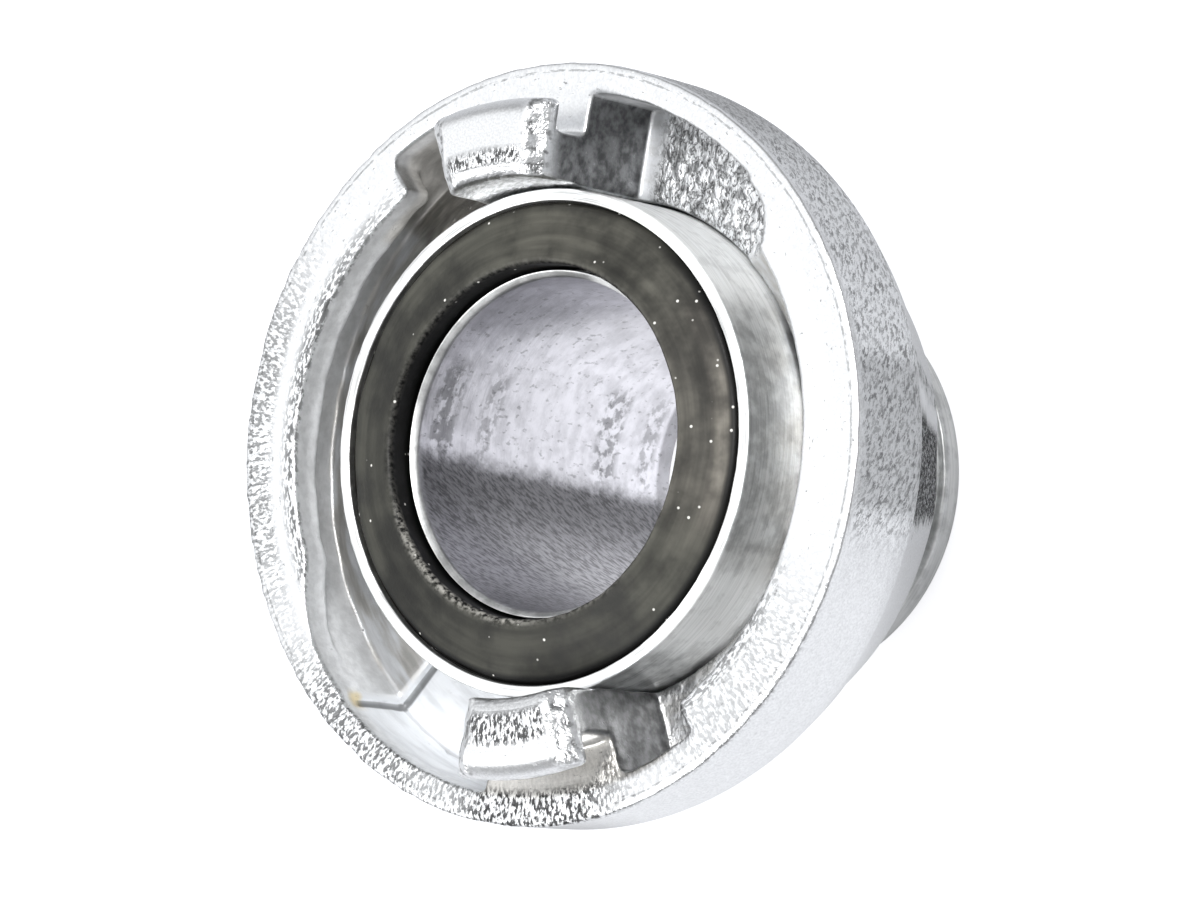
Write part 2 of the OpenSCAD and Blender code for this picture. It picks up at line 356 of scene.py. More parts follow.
# %% [markdown]
# Cast unevenness
#
# The casting isn't even: the slots' floors are blobs of a millimetre or two, the ends of the claws
# are knocked, and the edges of rim and lips are ragged. Each of these is a mask from 0 to 1, worked
# out from angle, radius, height and normal, times lattice noise, along the normal. Angles count in
# degrees clockwise from the top claw. The same masks are kept as attributes, so that the material
# can follow them.

# %% Places on the casting
def read_places(ring, normals):
    """Each point's angle, radius and height, the way its face looks, and its main zone."""
    angle, r, z = ring.T
    along = np.radians(90 + REST_TURN - angle)
    outward = normals[:, 0] * np.cos(along) + normals[:, 1] * np.sin(along)
    sideways = np.abs(normals[:, 1] * np.cos(along) - normals[:, 0] * np.sin(along))
    claw = ease(z, 0.4, 1.2)
    return SimpleNamespace(
        angle=angle, r=r, z=z, outward=outward, sideways=sideways, rise=normals[:, 2],
        up=ease(normals[:, 2], 0.3, 0.75),
        claw=claw,
        face=ease(z, -1.2, -0.2) * (1 - claw),
        inside=ease(-z, 2.0, 4.0) * (1 - ease(-z, 14.5, 15.5)) * (r > 32) * (r < 46),
        cone=ease(-z, 15.9, 17.3) * (outward > 0.3),
        second=(angle > 90) & (angle < 270),
    )


# %% Masks of the outside
def outside_masks(at):
    """The barrel's skin with its painted shade by angle and its pale painted lit flank, and on the
    cone the gate flat, with its painted dark reflection and a strip painted white as a highlight.
    """
    skin = ease(at.outward, 0.35, 0.7) * (at.r > 36) * ease(-at.z, 0.4, 1.6)
    # Painted shade: darker barrel near 25, 60, 95 and 194 degrees, by how the light falls.
    darker = marks(at.angle, (0.3, 95, 13, 0.75), (0.5, 25, 34), (0.1, 60, 16), (0.5, 194, 26))
    return {
        "skin": skin * (1 - ease(-at.z, 16.0, 16.8)),
        "shade": 1 - darker,
        # Painted light: the lower right, the barrel's lit flank, is painted pale.
        "calm": bell(at.angle, 160, 54, 0.85),
        # The gate flat, which the material paints with a dark reflection.
        "gate": at.cone * marks(at.angle, (1.0, 98, 14, 0.2), (0.3, 83, 5, 0.2)),
        # A strip of the gate flat that the material paints white as a highlight.
        "facet": at.cone * bell(at.angle, 88.2, 3.4, 0.2),
    }


# %% Masks of the fronts and the claws
def front_masks(at):
    """Fronts of rim and lips with their scuffs, burrs and edges, and the worn parts of the claws."""
    turn = (at.angle + 90) % 180 - 90
    claw_end = at.claw * ease(np.abs(turn), 8.6, 9.8) * ease(at.rise, 0.2, 0.6) * (at.z > 5)
    low, high = np.where(at.second, 35.2, 34.8), np.where(at.second, 39.4, 36.8)
    serrated = at.claw * (1 - claw_end) * ease(at.z, 7.0, 8.2) * ease(at.r, low - 0.5, low + 0.3)
    scuff_r = 43.8 - 3.2 * bell(at.angle, 143, 30, 0.8)
    scuffs = marks(at.angle, (0.6, 278, 40), (1.0, 184, 24), (0.3, 140, 28), (0.75, 222, 26))
    burrs = marks(at.angle, (0.9, 280, 70), (0.7, 140, 30))
    front = at.up * at.face
    return {
        "front": front,
        "land": front * bell(at.angle, 176, 22, 0.85) * (1 - ease(at.r, 44.8, 45.8)),
        "scuffed": at.face * ease(at.r, scuff_r, scuff_r + 1.6) * (0.08 + scuffs),
        "burr": at.face * burrs * (1 - ease(at.r, 41.4, 43.4)),
        "edge": ease(at.z, -1.4, -0.3) * (1 - at.claw) * ease(1 - at.rise, 0.05, 0.3),
        "claw_end": claw_end,
        "serrated": serrated * (1 - ease(at.r, high - 0.6, high + 0.4)),
    }


# %% Masks of the inside
def inside_masks(at):
    """Rough slot floors, channels, the smooth end gap with its ridge, painted pale on top and dark
    beside as highlight and shadow, and stain, grime, walls, and flanks by the claws, painted
    dark as shade.
    """
    half_turn = at.angle % 180
    first_floor = ease(at.angle, 15.5, 20) * (1 - ease(at.angle, 48, 52))
    rough = first_floor + 0.5 * bell(at.angle, 158, 14, 0.8)
    gap = bell(at.angle, 211, 20, 0.88)
    fair = at.inside * (gap + 0.8 * at.up * bell(at.angle, 15.5, 3.0, 0.6))
    crease = at.inside * gap * near(at.rise, 0.5, 0.4, 0.4)
    # The groove by the ridge and the end gap's creases are dented, and painted dark as shadow.
    groove = np.maximum(bell(at.angle, 228.0, 1.2, 0.4) * at.inside, 0.5 * crease)
    channel = at.inside * at.up * (1 - bell(at.angle, 33, 17, 0.9)) * (1 - fair)
    lip_wall = 0.8 * ease(-at.outward, 0.3, 0.7) * ease(-at.z, 0.3, 1.0) * (at.r > 39.5)
    stain = 0.7 * bell(at.angle, 228.6, 2.2) * near(at.z, -3.0, 1.6)
    by_claw = 1 - ease(np.minimum(half_turn, 180 - half_turn), 24, 28)
    # Flanks by the claws, which the material paints near black as shade.
    side = ease(at.sideways, 0.5, 0.8) * by_claw * ease(-at.z, -7.0, -4.0) * (at.r > 32)
    return {
        "rough": at.inside * at.up * rough,
        "channel": channel * (1 - rough),
        "fair": fair,
        "ridge": bell(at.angle, 229.5, 1.1, 0.4) * at.inside - groove,
        "stain": stain * (at.r > 43) * (at.r < 47),
        "grime": at.inside * bell(at.angle, 333, 15, 0.85),
        "wall": at.inside * (1 - at.up) + lip_wall,
        "inner": ease(-at.outward, 0.5, 0.8) * (at.r < 34) * ease(at.z, -13, -11),
        "side": side * np.where(at.second, 0.92, 1.0),
    }


# %% Shift of the casting's points
def head_shift(points, masks):
    """How far each point moves out along its normal, in millimetres: noise times masks."""
    blobs = noise(points, 1.5, 1) + 0.5 * noise(points, 0.8, 2)
    fine = noise(points, 1.0, 3)
    ragged = masks["edge"] * (0.6 + masks["burr"])
    ragged = ragged + 0.7 * masks["scuffed"] + 0.9 * masks["serrated"]
    shift = 0.3 * blobs * masks["rough"] + 0.22 * blobs * masks["claw_end"] + 0.16 * fine * ragged
    shift = shift + 0.3 * noise(points, 1.6, 11) * masks["burr"] * masks["edge"]
    shift = shift + 0.3 * masks["ridge"] + 0.05 * noise(points, 6.0, 4)
    return shift + 0.1 * noise(points, 2.4, 5) * masks["wall"]


# %% The head's mesh
HEAD_COLUMNS = 396
head_radii = np.concatenate([np.arange(26.0, 32.4, 1.0), np.arange(32.4, 50.1, 0.5)])
head_heights = np.concatenate(
    [np.arange(-38.0, -22.4, 0.9), np.arange(-22.6, -13.9, 0.6), np.arange(-13.75, 10.3, 0.5)]
)


def set_attributes(piece, masks):
    """Stores each mask as a number on every point, under its name."""
    for name, values in masks.items():
        layer = piece.data.attributes.new(name, "FLOAT", "POINT")
        layer.data.foreach_set("value", np.asarray(values, np.float32))


ring_points, head_quads = ring_net(head_field, head_radii, head_heights, HEAD_COLUMNS)
head_points = from_rings(ring_points)
head_normals = point_normals(head_points, head_quads)
places = read_places(ring_points, head_normals)
head_masks = {**outside_masks(places), **front_masks(places), **inside_masks(places)}
head_points = head_points + head_normals * head_shift(head_points, head_masks)[:, None]
head = add_mesh("head", head_points, head_quads)
set_attributes(head, head_masks)
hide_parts("locking_head")
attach(head, "head")
print("head:", len(head_points), "points,", len(head_quads), "quads")

# %% [markdown]
# Turned pieces
#
# The hose tail is turned on a lathe, and the gasket is moulded round. Each is an outline in radius
# and height, carried round the axis. A Screw modifier would do it too, but arrays let nicks and worn
# edges be worked out in the same step. Each corner of the outline is cut by a short curve, because no
# turned edge is quite sharp.

# %% Outlines and revolving
def outline(corners, step):
    """A closed line through corners (radius, height, round), each made a quadratic curve."""
    corners = np.asarray(corners, float)
    before = np.roll(corners, 1, axis=0)[:, :2] - corners[:, :2]
    after = np.roll(corners, -1, axis=0)[:, :2] - corners[:, :2]
    curves = []
    for corner, b, a in zip(corners, before, after):
        b_len, a_len = np.hypot(*b), np.hypot(*a)
        cut = min(corner[2], 0.45 * b_len, 0.45 * a_len)
        t = np.linspace(0, 1, 5)[:, None]
        start, end = corner[:2] + b / b_len * cut, corner[:2] + a / a_len * cut
        curves.append((1 - t) ** 2 * start + 2 * t * (1 - t) * corner[:2] + t**2 * end)
    line = []
    for curve, following in zip(curves, curves[1:] + curves[:1]):
        run = following[0] - curve[-1]
        parts = max(1, int(np.ceil(np.hypot(*run) / step)))
        line += list(curve) + [curve[-1] + run * k / parts for k in range(1, parts)]
    return np.array(line)


def revolve(line, columns):
    """Points and quads of a closed outline, listed anticlockwise, carried round the axis."""
    turns = np.arange(columns) * 2 * np.pi / columns
    r, z = line.T
    x, y = np.outer(np.cos(turns), r), np.outer(np.sin(turns), r)
    points = np.stack([x, y, np.tile(z, (columns, 1))], -1)
    i, j = np.meshgrid(np.arange(columns), np.arange(len(line)), indexing="ij")
    i2, j2 = (i + 1) % columns, (j + 1) % len(line)
    n = len(line)
    quads = np.stack([i * n + j, i2 * n + j, i2 * n + j2, i * n + j2], -1).reshape(-1, 4)
    return points.reshape(-1, 3), quads


# %% Outline of the hose tail
BORE_R, SHANK_R, BEAD_R, RIB_R, JOURNAL_R, COLLAR_R = 21.5, 25.6, 26.9, 2.0, 27.12, 32.7
SEAT_R, UNDERCUT_R, MOUTH_R, GROOVE_R = 31.1, 31.6, 22.4, 25.92
BEAD_Z, SHANK_Z, GROOVE_LOW, GROOVE_HIGH, COLLAR_Z = -54.4, -24.25, -22.65, -19.95, -15.7
SEAT_Z, UNDERCUT_Z, MOUTH_Z = 6.0, 1.2, 1.6
TURNS = 288


def rib_corners(middle):
    """Corners along the round back of one rib, from its lower to its upper foot."""
    turns = np.radians(np.linspace(-66, 66, 9))
    foot_r = BEAD_R - RIB_R
    return [(foot_r + RIB_R * math.cos(t), middle + RIB_R * math.sin(t), 0.1) for t in turns]


tail_corners = [
    (BORE_R, -TAIL_LEN, 0.6), (BEAD_R, -TAIL_LEN, 2.2), (BEAD_R, BEAD_Z, 0.7),
    (SHANK_R, BEAD_Z, 0.3), *rib_corners(-44.35), *rib_corners(-34.3),
    (SHANK_R, SHANK_Z, 0.3), (JOURNAL_R, SHANK_Z, 0.4),
    (JOURNAL_R, GROOVE_LOW, 0.1), (GROOVE_R, GROOVE_LOW, 0.1),
    (GROOVE_R, GROOVE_HIGH, 0.1), (JOURNAL_R, GROOVE_HIGH, 0.1),
    (JOURNAL_R, COLLAR_Z, 0.2), (COLLAR_R, COLLAR_Z, 0.4), (COLLAR_R, 0.0, 0.35),
    (SEAT_R, 0.0, 0.3), (SEAT_R, -UNDERCUT_Z, 0.15), (UNDERCUT_R, -UNDERCUT_Z, 0.1),
    (UNDERCUT_R, -SEAT_Z, 0.2), (MOUTH_R, -SEAT_Z, 0.2), (MOUTH_R, -MOUTH_Z, 0.3),
    (BORE_R, -2.5, 0.4),
]
tail_points, tail_quads = revolve(outline(tail_corners, 0.8), TURNS)
print("the tail's outline has", len(tail_points) // TURNS, "points")

# %% Wear and painted light of the hose tail
# Rows of soft marks in the bore: height, half width and share.
SCUFF_ROWS = ((-7.0, 3.4, 1.0), (-43.0, 3.4, 1.0), (-16.5, 2.6, 0.7), (-52.5, 2.6, 0.7))
tail_r, tail_z = np.hypot(tail_points[:, 0], tail_points[:, 1]), tail_points[:, 2]
tail_normals = point_normals(tail_points, tail_quads)
tail_turn = 90 - np.degrees(np.arctan2(tail_points[:, 1], tail_points[:, 0]))
in_bore = (tail_r < BORE_R + 0.3) * ease(-tail_z, 2.4, 3.2)
scuffs = sum(share * near(tail_z, middle, half, 0.5) for middle, half, share in SCUFF_ROWS)
scuffs = scuffs * bell(tail_turn, 283, 22, 0.6) * in_bore
# Painted light: the tail is brighter about 36 and 130 degrees round, a little darker near 155.
bright = marks(tail_turn, (1.0, 36, 27, 0.55), (1.0, 130, 18, 0.4), (-0.25, 155, 16))
# The bead is painted bright but for its first millimetre, left darker as a painted shadow line.
bright = np.clip(np.maximum(bright, 0.9 * ease(-tail_z, 55.2, 55.8)), 0, 1)
on_ring = (tail_r > 30.5) * ease(tail_z, -1.6, -0.3) * ease(tail_normals[:, 2], 0.3, 0.8)
nicks = noise(tail_points, 1.1, 6) * on_ring + 0.4 * noise(tail_points, 2.2, 7) * in_bore
tail_points = tail_points + tail_normals * (0.06 * nicks)[:, None]
tail = add_mesh("tail", tail_points, tail_quads)
set_attributes(tail, {"bore": in_bore, "ring": on_ring, "scuffs": scuffs, "bright": bright})
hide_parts("hose_tail")
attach(tail, "tail")
print("tail:", len(tail_quads), "quads")

# %% Outline of the gasket
GASKET_IN, GASKET_OUT, GASKET_LIP, CROWN_Z = 22.8, 31.5, 30.85, 1.9
gasket_corners = [
    (GASKET_IN, -SEAT_Z, 0.2), (GASKET_OUT, -SEAT_Z, 0.2), (GASKET_OUT, -1.3, 0.1),
    (GASKET_LIP, -1.3, 0.1), (30.55, -0.3, 0.5), (23.4, CROWN_Z, 0.6), (GASKET_IN, 1.45, 0.4),
]
gasket_points, gasket_quads = revolve(outline(gasket_corners, 0.5), 360)
gasket_r, gasket_z = np.hypot(gasket_points[:, 0], gasket_points[:, 1]), gasket_points[:, 2]
gasket_side = np.degrees(np.arctan2(gasket_points[:, 1], gasket_points[:, 0]))
print("the gasket's crown stands", CROWN_Z, "mm in front of the collar")

# %% Wear, painted sheen and painted shade of the gasket
worn = (1 - ease(gasket_r, 22.9, 23.9)) * ease(gasket_z, 0.6, 1.5)
worn = worn * (0.12 + marks(gasket_side, (0.9, -122, 42, 0.6), (0.25, -70, 30)))
# Painted sheen: lighter on the right and in a band near its outer edge, darker below and left.
stripe = bell(gasket_side, 8, 34) * near(gasket_r, 28.8, 1.5)
sheen = marks(gasket_side, (0.6, 5, 50), (0.3, 70, 50), (-0.35, -100, 70), (-0.3, 180, 60))
sheen = 1.0 + sheen + 1.9 * stripe
# Painted shade: the gap at the outer edge, darkest right and below, and the inner wall, black.
gap = ease(gasket_r, 29.5, 30.3) * (0.35 + 0.65 * bell(gasket_side, -40, 110, 0.7))
hole = 1 - ease(gasket_r, 22.9, 23.3)
ripple = 0.12 * noise(gasket_points, 5.0, 8) + 0.3 * worn * (noise(gasket_points, 0.9, 9) - 0.3)
gasket_normals = point_normals(gasket_points, gasket_quads)
rubber = add_mesh("gasket_ring", gasket_points + gasket_normals * ripple[:, None], gasket_quads)
set_attributes(rubber, {"worn": worn, "sheen": sheen, "gap": np.maximum(gap, hole)})
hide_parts("gasket")
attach(rubber, "tail")
print("gasket:", len(gasket_quads), "quads")

# %% [markdown]
# Materials
#
# Cast and turned aluminium are the same metal. What tells them apart is their relief: an orange peel
# from the blasted mould against fine lines that run round the axis. Painted pictures would need
# unwrapped faces, so all patterns come from noise on the object's own coordinates, scaled in
# millimetres, and the masks on the points say where each pattern lies.

# %% Shorthand for nodes
class Paint:
    """A Principled material, with one method for each kind of node that the pieces need."""

    def __init__(self, name, metallic=0.0):
        self.material = bpy.data.materials.new(name)
        self.material.use_nodes = True
        self.tree = self.material.node_tree
        self.shader = self.tree.nodes["Principled BSDF"]
        self.shader.inputs["Metallic"].default_value = metallic
        self.place = self.node("TexCoord", {}).outputs["Object"]

    def node(self, kind, inputs, **settings):
        """A node with its settings, whose sockets take a value or another node's output."""
        made = self.tree.nodes.new("ShaderNode" + kind)
        for name, value in settings.items():
            setattr(made, name, value)
        for name, value in inputs.items():
            self.plug(value, made.inputs[name])
        return made

    def plug(self, value, socket):
        """Joins an output to a socket, or sets the socket's value."""
        if isinstance(value, bpy.types.NodeSocket):
            self.tree.links.new(value, socket)
        else:
            socket.default_value = value

    def math(self, operation, a, b=0.0):
        """One arithmetic step."""
        return self.node("Math", {0: a, 1: b}, operation=operation).outputs[0]

    def fold(self, operation, values):
        """One operation carried through several values, from the first to the last."""
        total, *rest = values
        for value in rest:
            total = self.math(operation, total, value)
        return total

    def times(self, *values):
        """The product of the values."""
        return self.fold("MULTIPLY", values)

    def plus(self, *values):
        """The sum of the values."""
        return self.fold("ADD", values)

    def most(self, *values):
        """The largest of the values."""
        return self.fold("MAXIMUM", values)

    def less(self, a, b):
        """a without b."""
        return self.math("SUBTRACT", a, b)

    def noise(self, size, detail=3.0, place=None, rough=0.55, fourth=None):
        """Noise whose blobs are about size millimetres across, in three or four dimensions."""
        inputs = {"Vector": place or self.place, "Scale": 1000 / size}
        inputs |= {"Detail": detail, "Roughness": rough}
        if fourth is None:
            return self.node("TexNoise", inputs).outputs["Fac"]
        made = self.node("TexNoise", inputs, noise_dimensions="4D")
        self.plug(fourth, made.inputs["W"])
        return made.outputs["Fac"]

    def stretch(self, scale, turn=(0, 0, 0), place=None):
        """The coordinates turned and then scaled, for noise that runs in a direction."""
        turned = self.node("Mapping", {"Vector": place or self.place, "Rotation": turn})
        return self.node("Mapping", {"Vector": turned.outputs[0], "Scale": scale}).outputs[0]

    def parts(self, place=None):
        """The three numbers of a place."""
        return self.node("SeparateXYZ", {0: place or self.place}).outputs

    def radius(self, x, y):
        """The distance from the axis: the root of x squared plus y squared."""
        return self.math("SQRT", self.plus(self.times(x, x), self.times(y, y)))

    def round_place(self, radius):
        """Coordinates along the radius, round the axis at the given radius, and along the axis."""
        x, y, z = self.parts()
        turn = self.times(self.math("ARCTAN2", y, x), radius / 1000)
        return self.node("CombineXYZ", {0: self.radius(x, y), 1: turn, 2: z}).outputs[0]

    def rings(self, drift, across=1.0):
        """Coordinates for marks that run round the axis and close without a seam. A turn is a circle
        of radius drift millimetres in two of the four dimensions, so that it changes slowly."""
        x, y, z = self.parts()
        r = self.radius(x, y)
        slow = self.math("DIVIDE", drift / 1000, r)
        ahead, beside = self.times(x, slow), self.times(y, slow)
        place = self.node("CombineXYZ", {0: self.times(r, across), 1: beside, 2: z}).outputs[0]
        return {"place": place, "fourth": ahead}

    def span(self, value, low, high, to_low=0.0, to_high=1.0):
        """A smooth step from to_low, where value is low, to to_high."""
        names = ("Value", "From Min", "From Max", "To Min", "To Max")
        inputs = dict(zip(names, (value, low, high, to_low, to_high)))
        return self.node("MapRange", inputs, interpolation_type="SMOOTHSTEP").outputs[0]

    def blend(self, factor, a, b):
        """a where factor is 0, b where it is 1, for numbers."""
        return self.node("Mix", {0: factor, 2: a, 3: b}).outputs[0]

    def colour(self, factor, a, b):
        """a where factor is 0, b where it is 1, for colours."""
        a, b = ((*c, 1) if isinstance(c, tuple) else c for c in (a, b))
        return self.node("Mix", {0: factor, 6: a, 7: b}, data_type="RGBA").outputs[2]

    def tint(self, hue, tone):
        """The hue made darker by the tone: each of its three numbers times the tone."""
        return self.node("VectorMath", {0: hue, 1: tone}, operation="MULTIPLY").outputs[0]

    def masks(self, names):
        """Those of the piece's masks that are named, each under its name."""
        nodes = {name: self.node("Attribute", {}, attribute_name=name) for name in names.split()}
        return SimpleNamespace(**{name: node.outputs["Fac"] for name, node in nodes.items()})

    def bump(self, height, depth, normal=None):
        """A relief of depth millimetres."""
        inputs = {"Height": height, "Distance": depth / 1000, "Strength": 1.0}
        if normal:
            inputs["Normal"] = normal
        return self.node("Bump", inputs).outputs[0]

    def finish(self, colour, roughness, normal=None):
        """Plugs the three results into the shader and returns the material."""
        colour = (*colour, 1) if isinstance(colour, tuple) else colour
        self.plug(colour, self.shader.inputs["Base Color"])
        self.plug(roughness, self.shader.inputs["Roughness"])
        if normal:
            self.plug(normal, self.shader.inputs["Normal"])
        return self.material


# %% [markdown]
# Cast aluminium
#
# The casting is one metal with many finishes: blasted skin outside, rubbed and scuffed fronts, and
# smeared hollows. Part of its tone is painted light and shade: a lit flank and darker parts on the
# barrel, highlights and shade on its peel, walls painted darker with depth, near black flanks by
# the claws, a highlight and a shadow at the end gap's ridge, shade between the slot floors' blobs,
# and a dark reflection on the gate flat. One material for each finish would leave hard seams, so
# it is one material, and its tone is worked out zone by zone, each laid over the last by its mask.
# In the functions p is the material in the making, n holds its noises and m the masks.

# %% Patterns of the casting
def cast_patterns(p):
    """The noises that tone and relief share, most of them on coordinates round the axis."""
    place = p.round_place(45)
    r, _, z = p.parts(place)
    return SimpleNamespace(
        r=r, z=z,
        ripple=p.noise(0.68, 3.0, p.stretch((1.0, 0.55, 1.2), (0.7, 0, 0), place), 0.8),
        peel=p.noise(1.6, 1.0),
        blobs=p.noise(1.0, 2.0, p.stretch((1.3, 0.75, 1.0))),
        mottle=p.noise(1.4, 3.0),
        fine=p.noise(0.3, 1.0),
        waves=p.noise(0.7, 2.0, p.stretch((1.0, 0.35, 1.0), (0.5, 0, 0), place)),
        dashes=p.noise(0.8, 3.0, p.stretch((2.2, 0.8, 1.0), place=place)),
        streaks=p.noise(0.55, 3.0, p.stretch((0.65, 1.2, 1.0), place=place)),
        smears=p.noise(2.6, 3.0, **p.rings(13.5, 1.6)),
        # Noise for the gate flat's painted dark reflection.
        dark_reflection=p.noise(0.6, 4.0, rough=0.75),
    )


# %% Tones of the outside
def skin_tone(p, n, m):
    """Barrel and cone: bright ripples with dark dashes between, painted as the peel's highlights
    and shade, a pale painted lit flank with only a fine grain, and painted shade by angle.
    """
    # Painted light and shade of the peel: crests painted bright, the dashes between them dark.
    crest = p.span(n.ripple, 0.42, 0.54)
    cast = p.blend(crest, p.span(n.peel, 0.35, 0.65, 0.34, 0.62), 1.0)
    # Painted light: a pale lit flank with a fine grain; then painted shade by the shade mask.
    lit_tone = p.times(p.span(n.fine, 0.25, 0.75, 0.80, 0.94), p.blend(crest, 0.95, 1.0))
    return p.times(p.blend(m.calm, cast, lit_tone), m.shade)


def front_tone(p, n, m, tone):
    """Fronts of rim and lips: clean with dark flecks, a thin broken line, scuffs and burrs."""
    # All three in metres, as node coordinates are.
    line_r, outer, inner = 0.0479, 0.00022, 0.00008
    flecks = p.times(p.span(n.dashes, 0.66, 0.73, 0.92, 0.35), p.span(n.fine, 0.3, 0.7, 0.9, 1.0))
    tone = p.blend(m.front, tone, flecks)
    away = p.math("ABSOLUTE", p.less(n.r, line_r))
    line = p.times(p.span(away, outer, inner), p.span(n.dashes, 0.4, 0.55), m.front, 0.6)
    tone = p.blend(line, tone, 0.2)
    tone = p.blend(m.scuffed, tone, p.span(n.streaks, 0.44, 0.56, 0.08, 0.94))
    return p.blend(m.burr, tone, p.span(n.dashes, 0.46, 0.54, 0.95, 0.15))


# %% Tones of the inside and the claws
def inside_tone(p, n, m, tone):
    """Smeared channels, walls painted darker with depth as shade, the smooth end gap with its
    ridge's painted highlight and shadow, grime, flanks by the claws painted near black as shade,
    and slot floors with painted shade between their blobs.
    """
    # Heights above the floor, in metres.
    deep, shallow = 0.0465, 0.0535
    tone = p.blend(m.channel, tone, p.span(n.smears, 0.3, 0.7, 0.40, 0.82))
    tone = p.times(tone, p.blend(m.land, 1.0, p.span(n.streaks, 0.35, 0.65, 0.66, 0.78)))
    # Painted shade: the walls are painted darker the deeper they lie.
    wall = p.times(p.span(n.mottle, 0.3, 0.7, 0.82, 1.0), p.span(n.z, deep, shallow, 0.5, 1.0))
    tone = p.blend(m.wall, tone, wall)
    tone = p.blend(m.fair, tone, p.span(n.smears, 0.3, 0.6, 0.8, 1.0))
    # Painted shadow: the groove by the ridge and the end gap's creases.
    tone = p.times(tone, p.span(m.ridge, -0.1, -0.9, 1.0, 0.25))
    tone = p.times(tone, p.blend(m.grime, 1.0, p.span(n.smears, 0.3, 0.7, 0.5, 0.85)))
    # Painted highlight: the ridge's top is painted pale.
    tone = p.blend(p.span(m.ridge, 0.1, 0.9), tone, 0.9)
    tone = p.blend(m.inner, tone, p.span(n.waves, 0.35, 0.65, 0.55, 0.95))
    # Painted shade: the flanks by the claws are painted near black.
    tone = p.blend(m.side, tone, p.span(n.mottle, 0.3, 0.7, 0.09, 0.24))
    # Painted shade: thin dark lines between the slot floors' blobs.
    valley = p.math("ABSOLUTE", p.less(n.blobs, 0.47))
    blobs = p.times(p.span(valley, 0.0, 0.05, 0.14, 1.0), p.span(n.mottle, 0.38, 0.54, 0.4, 1.0))
    return p.blend(p.times(m.rough, 0.9), tone, blobs)


def claw_tone(p, n, m, tone):
    """Knocked ends and serrated tops of the claws."""
    tone = p.blend(p.times(m.claw_end, 0.75), tone, p.span(n.mottle, 0.36, 0.5, 0.15, 0.95))
    return p.blend(m.serrated, tone, p.span(n.streaks, 0.44, 0.54, 0.1, 0.8))


# %% Relief of the casting
def cast_relief(p, n, m, gate):
    """Orange peel on the skin, a fine grain everywhere, and blobs, streaks and waves by mask."""
    peel = p.plus(p.times(n.ripple, 0.8), n.peel)
    normal = p.bump(p.times(peel, p.times(m.skin, p.blend(m.calm, 1.0, 0.35))), 0.34)
    normal = p.bump(p.times(n.fine, p.blend(m.front, 1.0, 0.4)), 0.03, normal)
    relief = p.plus(
        p.times(n.blobs, m.rough),
        p.times(n.mottle, p.plus(m.claw_end, gate)),
        p.times(n.streaks, p.plus(m.serrated, m.scuffed)),
        p.times(n.waves, p.times(m.inner, 0.4)),
    )
    return p.bump(relief, 0.4, normal)


# %% Cast aluminium
COOL, COOLER, WARM = (0.975, 0.985, 1.0), (0.95, 0.97, 1.0), (1.0, 0.975, 0.93)
RUST = (0.90, 0.72, 0.34)
CAST_MASKS = """skin shade calm gate facet front land scuffed burr claw_end serrated
rough channel fair ridge stain grime wall inner side"""


def cast_material():
    """Metal with the tones of its zones, less metallic where a wall, the gap or the gate is dull."""
    p = Paint("cast_aluminium", 1.0)
    m, n = p.masks(CAST_MASKS), cast_patterns(p)
    # Where the gate flat's painted dark reflection lies: there the metal is dull and rough.
    gate = p.span(p.plus(m.gate, p.times(p.plus(n.dark_reflection, n.mottle), 0.9)), 1.1, 1.45)
    tone = p.blend(m.skin, p.span(n.fine, 0.3, 0.7, 0.74, 0.88), skin_tone(p, n, m))
    tone = claw_tone(p, n, m, inside_tone(p, n, m, front_tone(p, n, m, tone)))
    # Painted dark reflection: the gate flat is painted near black.
    tone = p.blend(gate, tone, p.span(n.dark_reflection, 0.48, 0.64, 0.03, 0.7))
    # Painted highlight: the lit strip of the gate flat is painted white.
    tone = p.blend(m.facet, tone, 1.0)
    pale = p.most(p.times(p.less(m.wall, m.side), 0.6), p.times(m.fair, 0.7))
    p.plug(p.less(1.0, p.most(pale, gate)), p.shader.inputs["Metallic"])
    brown = p.most(m.land, m.grime, p.times(m.channel, p.span(n.smears, 0.6, 0.4)))
    hue = p.colour(brown, p.colour(m.fair, COOL, COOLER), WARM)
    hue = p.colour(m.stain, hue, RUST)
    roughness = p.blend(p.most(m.wall, m.rough), p.blend(m.skin, 0.33, 0.42), 0.55)
    return p.finish(p.tint(hue, tone), p.most(roughness, gate), cast_relief(p, n, m, gate))


head.data.materials.append(cast_material())
print("cast aluminium:", len(head.active_material.node_tree.nodes), "nodes")


# %% [markdown]
# Turned aluminium
#
# The cutter leaves lines round the axis, too fine for a mesh. They are noise on coordinates that
# hardly change round the axis, so that the lines close without a seam. The bore is brushed by the
# hose's water and grit, which leave specks and streaks; it is painted pale above, as if lit,
# and dark below, as if shaded.

